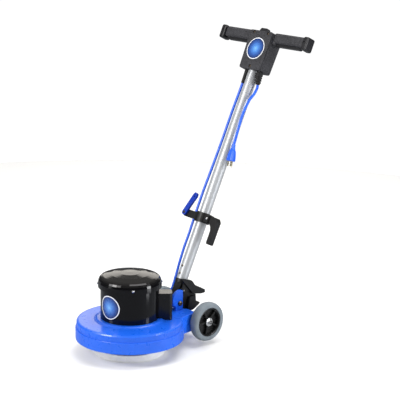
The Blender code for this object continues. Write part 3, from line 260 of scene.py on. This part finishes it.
def tyre_mat():
    mt, nd, lk, b = new_mat("tyre_grey")
    p = coords(nd)
    blot = noise(nd, lk, p, 38.0, 5.0, 0.65)
    lk.new(ramp(nd, lk, blot, [(0.25, (0.125, 0.150, 0.172)), (0.75, (0.185, 0.215, 0.240))]), b.inputs["Base Color"])
    fine = noise(nd, lk, p, 480.0, 3.0, 0.7)
    lk.new(span(nd, lk, blot, 0.52, 0.68, 0.3, 0.7), b.inputs["Roughness"])
    bump(nd, lk, fine, b, 0.12, 0.0004)
    b.inputs["Specular IOR Level"].default_value = 0.4
    return mt


M_TYRE = tyre_mat()


def pad_mat():
    """Needled fibre: matted strands with tiny shadows between them."""
    mt, nd, lk, b = new_mat("pad_fibre")
    p = coords(nd)
    strands = noise(nd, lk, p, 140.0, 6.0, 0.8, 1.6, (1, 1, 1.6))
    soft = noise(nd, lk, p, 18.0, 3.0, 0.6)
    s = math_node(nd, lk, "ADD", math_node(nd, lk, "MULTIPLY", strands, 0.7), math_node(nd, lk, "MULTIPLY", soft, 0.3))
    lk.new(ramp(nd, lk, s, [(0.30, (0.76, 0.77, 0.77)), (0.60, (0.93, 0.93, 0.92))]), b.inputs["Base Color"])
    b.inputs["Roughness"].default_value = 0.95
    b.inputs["Specular IOR Level"].default_value = 0.15
    b.inputs["Sheen Weight"].default_value = 0.25
    bump(nd, lk, strands, b, 0.55, 0.0012)
    return mt


M_PAD = pad_mat()


def tube_mat():
    """Drawn, bright-finished tube: fine lines along its length."""
    mt, nd, lk, b = new_mat("bright_tube")
    p = coords(nd)
    # lines run along the tube: squeeze the noise across it only
    rot = nd.new("ShaderNodeMapping")
    rot.vector_type = "POINT"
    rot.inputs["Rotation"].default_value = (LEAN, 0, 0)
    lk.new(p, rot.inputs["Vector"])
    sq = nd.new("ShaderNodeMapping")
    sq.inputs["Scale"].default_value = (1.0, 1.0, 0.02)
    lk.new(rot.outputs["Vector"], sq.inputs["Vector"])
    lines = noise(nd, lk, sq.outputs["Vector"], 300.0, 2.0, 0.5)
    dull = noise(nd, lk, p, 12.0, 4.0, 0.6)
    lk.new(ramp(nd, lk, lines, [(0.3, (0.40, 0.415, 0.435)), (0.7, (0.45, 0.465, 0.485))]), b.inputs["Base Color"])
    lk.new(span(nd, lk, dull, 0.34, 0.42, 0.3, 0.7), b.inputs["Roughness"])
    bump(nd, lk, lines, b, 0.01, 0.0002)
    b.inputs["Metallic"].default_value = 0.35
    return mt


M_TUBE = tube_mat()


def jacket_mat(name, lo, hi):
    """PVC jacket of a lead: slightly uneven, a little dusty."""
    mt, nd, lk, b = new_mat(name)
    p = coords(nd)
    d = noise(nd, lk, p, 55.0, 4.0, 0.65)
    lk.new(ramp(nd, lk, d, [(0.3, lo), (0.7, hi)]), b.inputs["Base Color"])
    lk.new(span(nd, lk, d, 0.34, 0.50, 0.3, 0.7), b.inputs["Roughness"])
    bump(nd, lk, noise(nd, lk, p, 380.0, 3.0, 0.6), b, 0.10, 0.0003)
    b.inputs["Specular IOR Level"].default_value = 0.5
    return mt


M_LEAD = jacket_mat("lead_blue", (0.006, 0.085, 0.62), (0.012, 0.125, 0.80))


def badge_mat(name, centre, across, upward, radius):
    """Printed disc: white rim, dark line, blue field that lightens towards the middle."""
    mt, nd, lk, b = new_mat(name)
    d = vec_node(nd, lk, "SUBTRACT", coords(nd), tuple(centre))
    a = vec_node(nd, lk, "DOT_PRODUCT", d, tuple(across), "Value")
    c = vec_node(nd, lk, "DOT_PRODUCT", d, tuple(upward), "Value")
    r = math_node(nd, lk, "SQRT", math_node(nd, lk, "ADD", math_node(nd, lk, "MULTIPLY", a, a), math_node(nd, lk, "MULTIPLY", c, c)))
    rn = math_node(nd, lk, "DIVIDE", r, radius)
    wob = noise(nd, lk, coords(nd), 95.0, 3.0, 0.6)
    rw = math_node(nd, lk, "ADD", rn, math_node(nd, lk, "MULTIPLY", math_node(nd, lk, "SUBTRACT", wob, 0.5), 0.16))
    field = ramp(nd, lk, rw, [(0.0, (0.16, 0.40, 0.74)), (0.30, (0.060, 0.21, 0.58)), (0.60, (0.020, 0.085, 0.34)),
                              (0.88, (0.006, 0.024, 0.115))])
    rim = ramp(nd, lk, rn, [(0.0, 0.0), (0.920, 0.0), (0.935, 1.0)], "LINEAR")
    mix = nd.new("ShaderNodeMix")
    mix.data_type = "RGBA"
    lk.new(rim, mix.inputs["Factor"])
    lk.new(field, mix.inputs["A"])
    mix.inputs["B"].default_value = (0.80, 0.82, 0.85, 1.0)
    lk.new(mix.outputs["Result"], b.inputs["Base Color"])
    lk.new(span(nd, lk, wob, 0.22, 0.34, 0.3, 0.7), b.inputs["Roughness"])
    b.inputs["Coat Weight"].default_value = 0.3
    return mt


bd = Vector((math.sin(math.radians(6)), -math.cos(math.radians(6)), 0))
M_BADGE_MOTOR = badge_mat("badge_motor", bd * 0.0975 + Vector((0, 0, 0.1738)), Vector((0, 0, 1)).cross(bd).normalized(), (0, 0, 1), 0.0395)
M_BADGE_BOX = badge_mat("badge_handle", H(0, 0.8850, 0.0295), (1, 0, 0), AX, 0.0386)


def cap_mat():
    """Push-on axle cap: bright dome with a dark ring round its centre."""
    mt, nd, lk, b = new_mat("axle_cap")
    p = coords(nd)
    d = vec_node(nd, lk, "SUBTRACT", p, (0.0, 0.2416, 0.0799))
    flat = vec_node(nd, lk, "MULTIPLY", d, (0.0, 1.0, 1.0))
    r = vec_node(nd, lk, "LENGTH", flat, None, "Value")
    lk.new(ramp(nd, lk, math_node(nd, lk, "MULTIPLY", r, 60.0),
                [(0.0, (0.45, 0.45, 0.45)), (0.14, (0.40, 0.40, 0.40)), (0.19, (0.015, 0.015, 0.015)), (0.34, (0.02, 0.02, 0.02)),
                 (0.42, (0.62, 0.63, 0.64)), (1.0, (0.66, 0.67, 0.68))]), b.inputs["Base Color"])
    fine = noise(nd, lk, p, 320.0, 3.0, 0.6)
    lk.new(span(nd, lk, fine, 0.22, 0.34, 0.3, 0.7), b.inputs["Roughness"])
    b.inputs["Metallic"].default_value = 0.75
    return mt


M_AXLECAP = cap_mat()

LOOK = {
    "deck_housing": M_BLUE, "cord_hook": M_HOOK,
    "motor_cover": M_GLOSS, "motor_cap": M_GLOSS, "capacitor_cover": M_SATIN,
    "handle_rear_shell": M_GRAIN, "handle_front_shell": M_GRAIN, "cooling_fan": M_GRAIN,
    "handle_yoke": M_CAST, "foot_pedal": M_CAST, "hook_bracket": M_CAST,
    "end_cap_r": M_TRIM, "end_cap_l": M_TRIM, "trigger_r": M_TRIM, "trigger_l": M_TRIM,
    "lockout_button": M_TRIM, "cord_hook_pin": M_TRIM,
    "shell_screw_1": M_DARKSTEEL, "shell_screw_2": M_DARKSTEEL, "shell_screw_3": M_DARKSTEEL,
    "tyre_r": M_TYRE, "tyre_l": M_TYRE, "hub_r": M_HUB, "hub_l": M_HUB,
    "wheel_cap_r": M_AXLECAP, "wheel_cap_l": M_AXLECAP,
    "pivot_bolt": M_DARKSTEEL, "pivot_nut": M_DARKSTEEL, "tube_screw_1": M_DARKSTEEL, "tube_screw_2": M_DARKSTEEL,
    "handle_tube": M_TUBE, "capacitor": M_ALU, "gear_case": M_ALU,
    "pad": M_PAD, "pad_driver": M_RUBBER,
    "motor_badge": M_BADGE_MOTOR, "handle_badge": M_BADGE_BOX, "motor_stator": M_COPPER,
    "motor_lead_upper": M_LEAD, "motor_lead_lower": M_LEAD, "mains_pigtail": M_LEAD, "mains_plug": M_LEAD,
    "motor_lead_relief": M_RUBBER, "mains_relief": M_RUBBER, "deck_lead_grommet": M_RUBBER, "power_switch": M_RUBBER,
    "plug_blade_a": M_BRASS, "plug_blade_b": M_BRASS, "plug_ground_pin": M_BRASS,
}
for name, ob in N.items():
    ob.data.materials.clear()
    ob.data.materials.append(LOOK.get(name, M_STEEL))

# ------------------------------------------------------------------ softened edges on the sharp castings
for name, width, segs in (("handle_yoke", 0.0012, 2), ("hook_bracket", 0.0016, 2), ("foot_pedal", 0.0007, 2)):
    if name in N:
        bv = N[name].modifiers.new("soft_edges", "BEVEL")
        bv.width = width
        bv.segments = segs
        bv.limit_method = "ANGLE"
        bv.angle_limit = math.radians(40)
        bv.harden_normals = False

# ------------------------------------------------------------------ mains pigtail, seen from end to end
cord_top = H(0.0350, 0.8107, 0.0085)
cord_dir = (H(0.0360, 0.7680, -0.0018) - cord_top).normalized()
CORD_R = 0.0047
ctrl = [cord_top + cord_dir * 0.0443, cord_top + cord_dir * 0.0560, H(0.0350, 0.7330, -0.0010),
        H(0.0325, 0.7100, 0.0075), H(0.0310, 0.6800, 0.0120), H(0.0300, 0.6500, 0.0135),
        H(0.0305, 0.6128, 0.0120), H(0.0318, 0.5750, 0.0098), H(0.0327, 0.5478, 0.0085)]
pts = smooth_path(ctrl, 0.0040)
cu = bpy.data.curves.new("mains_pigtail_jacket", "CURVE")
cu.dimensions = "3D"
cu.bevel_depth = CORD_R
cu.bevel_resolution = 6
cu.use_fill_caps = True
sp = cu.splines.new("POLY")
sp.points.add(len(pts) - 1)
for q, co in zip(sp.points, pts):
    q.co = (*co, 1.0)
cu.materials.append(M_LEAD)
pigtail = bpy.data.objects.new("mains_pigtail_jacket", cu)
scene.collection.objects.link(pigtail)
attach(pigtail, "handle")
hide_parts("mains_pigtail")

# ------------------------------------------------------------------ floor, backdrop and lights
fm, nd, lk, b = new_mat("studio_floor")
b.inputs["Roughness"].default_value = 0.55
b.inputs["Specular IOR Level"].default_value = 0.25
n = noise(nd, lk, coords(nd), 1.3, 2.0)
lk.new(ramp(nd, lk, n, [(0.0, (0.80, 0.80, 0.795)), (1.0, (0.82, 0.82, 0.815))]), b.inputs["Base Color"])
b.inputs["Emission Color"].default_value = (1.0, 1.0, 1.0, 1.0)
b.inputs["Emission Strength"].default_value = 0.10
# painted shade for reflections: glossy rays see a darker floor than the camera does, though nothing in the scene
# shades it
fl = nd.new("ShaderNodeLightPath")
fd = nd.new("ShaderNodeBsdfDiffuse")
fd.inputs["Color"].default_value = (0.26, 0.27, 0.29, 1.0)
fx = nd.new("ShaderNodeMixShader")
fo = [x for x in nd if x.type == "OUTPUT_MATERIAL"][0]
lk.new(fl.outputs["Is Glossy Ray"], fx.inputs["Fac"])
lk.new(b.outputs["BSDF"], fx.inputs[1])
lk.new(fd.outputs["BSDF"], fx.inputs[2])
lk.new(fx.outputs["Shader"], fo.inputs["Surface"])
bm = bmesh.new()
bmesh.ops.create_circle(bm, cap_ends=True, segments=96, radius=2.9)
me = bpy.data.meshes.new("floor")
bm.to_mesh(me)
bm.free()
floor = bpy.data.objects.new("floor", me)
floor.data.materials.append(fm)
floor.location = (0, 0, -0.0002)
scene.collection.objects.link(floor)


def area_light(name, pos, target, sx, sy, power, colour=(1, 1, 1), spread=180.0):
    d = bpy.data.lights.new(name, "AREA")
    d.shape = "RECTANGLE"
    d.size, d.size_y = sx, sy
    d.energy = power
    d.color = colour
    d.spread = math.radians(spread)
    o = bpy.data.objects.new(name, d)
    o.location = pos
    o.rotation_mode = "QUATERNION"
    o.rotation_quaternion = (Vector(target) - Vector(pos)).to_track_quat("-Z", "Y")
    scene.collection.objects.link(o)
    return o


def around(az, dist, z):
    a = math.radians(az)
    return (math.sin(a) * dist, -math.cos(a) * dist, z)


area_light("key", around(-8, 2.9, 2.5), (0, 0.1, 0.40), 1.2, 1.2, 88.0, (1.0, 0.99, 0.97))
area_light("top", (0.2, 0.9, 3.4), (0, 0.3, 0.2), 2.4, 2.4, 88.0)
area_light("side_strip", around(118, 2.4, 0.9), (0, 0, 0.25), 0.35, 1.9, 30.0, (0.97, 0.98, 1.0))
area_light("left_strip", around(-28, 2.6, 0.8), (0, 0, 0.25), 0.4, 1.8, 16.0)
card = area_light("side_card", around(119, 0.74, 0.20), (0, 0, 0.19), 0.07, 0.40, 0.45, (0.95, 0.97, 1.0))
card.visible_camera = False
back = area_light("back_panel", around(-136, 3.0, 1.25), (0, 0, 0.25), 2.2, 1.0, 14.0, (1.0, 0.95, 0.88))
back.visible_camera = False

world = bpy.data.worlds.new("studio")
scene.world = world
world.use_nodes = True
wn, wl = world.node_tree.nodes, world.node_tree.links
for x in list(wn):
    wn.remove(x)
out = wn.new("ShaderNodeOutputWorld")
mixw = wn.new("ShaderNodeMixShader")
mixg = wn.new("ShaderNodeMixShader")
bg_cam = wn.new("ShaderNodeBackground")
bg_dif = wn.new("ShaderNodeBackground")
bg_glo = wn.new("ShaderNodeBackground")
lp = wn.new("ShaderNodeLightPath")
bg_cam.inputs["Color"].default_value = (1, 1, 1, 1)
bg_cam.inputs["Strength"].default_value = 1.05
bg_dif.inputs["Color"].default_value = (1.0, 1.0, 1.0, 1)
bg_dif.inputs["Strength"].default_value = 0.46
tc = wn.new("ShaderNodeTexCoord")
sep = wn.new("ShaderNodeSeparateXYZ")
wl.new(tc.outputs["Generated"], sep.inputs["Vector"])
wr = wn.new("ShaderNodeValToRGB")
wr.color_ramp.elements[0].position = 0.42
wr.color_ramp.elements[0].color = (0.05, 0.05, 0.06, 1)
wr.color_ramp.elements[1].position = 0.95
wr.color_ramp.elements[1].color = (0.80, 0.77, 0.72, 1)
e = wr.color_ramp.elements.new(0.60)
e.color = (0.12, 0.12, 0.12, 1)
mr = wn.new("ShaderNodeMapRange")
mr.inputs["From Min"].default_value = -1.0
mr.inputs["From Max"].default_value = 1.0
wl.new(sep.outputs["Z"], mr.inputs["Value"])
wl.new(mr.outputs["Result"], wr.inputs["Fac"])
wl.new(wr.outputs["Color"], bg_glo.inputs["Color"])
bg_glo.inputs["Strength"].default_value = 0.9
wl.new(lp.outputs["Is Glossy Ray"], mixg.inputs["Fac"])
wl.new(bg_dif.outputs[0], mixg.inputs[1])
wl.new(bg_glo.outputs[0], mixg.inputs[2])
wl.new(lp.outputs["Is Camera Ray"], mixw.inputs["Fac"])
wl.new(mixg.outputs[0], mixw.inputs[1])
wl.new(bg_cam.outputs[0], mixw.inputs[2])
wl.new(mixw.outputs[0], out.inputs["Surface"])

scene.view_settings.view_transform = "Standard"
scene.view_settings.look = "None"
scene.view_settings.exposure = 0.0
scene.view_settings.gamma = 1.0
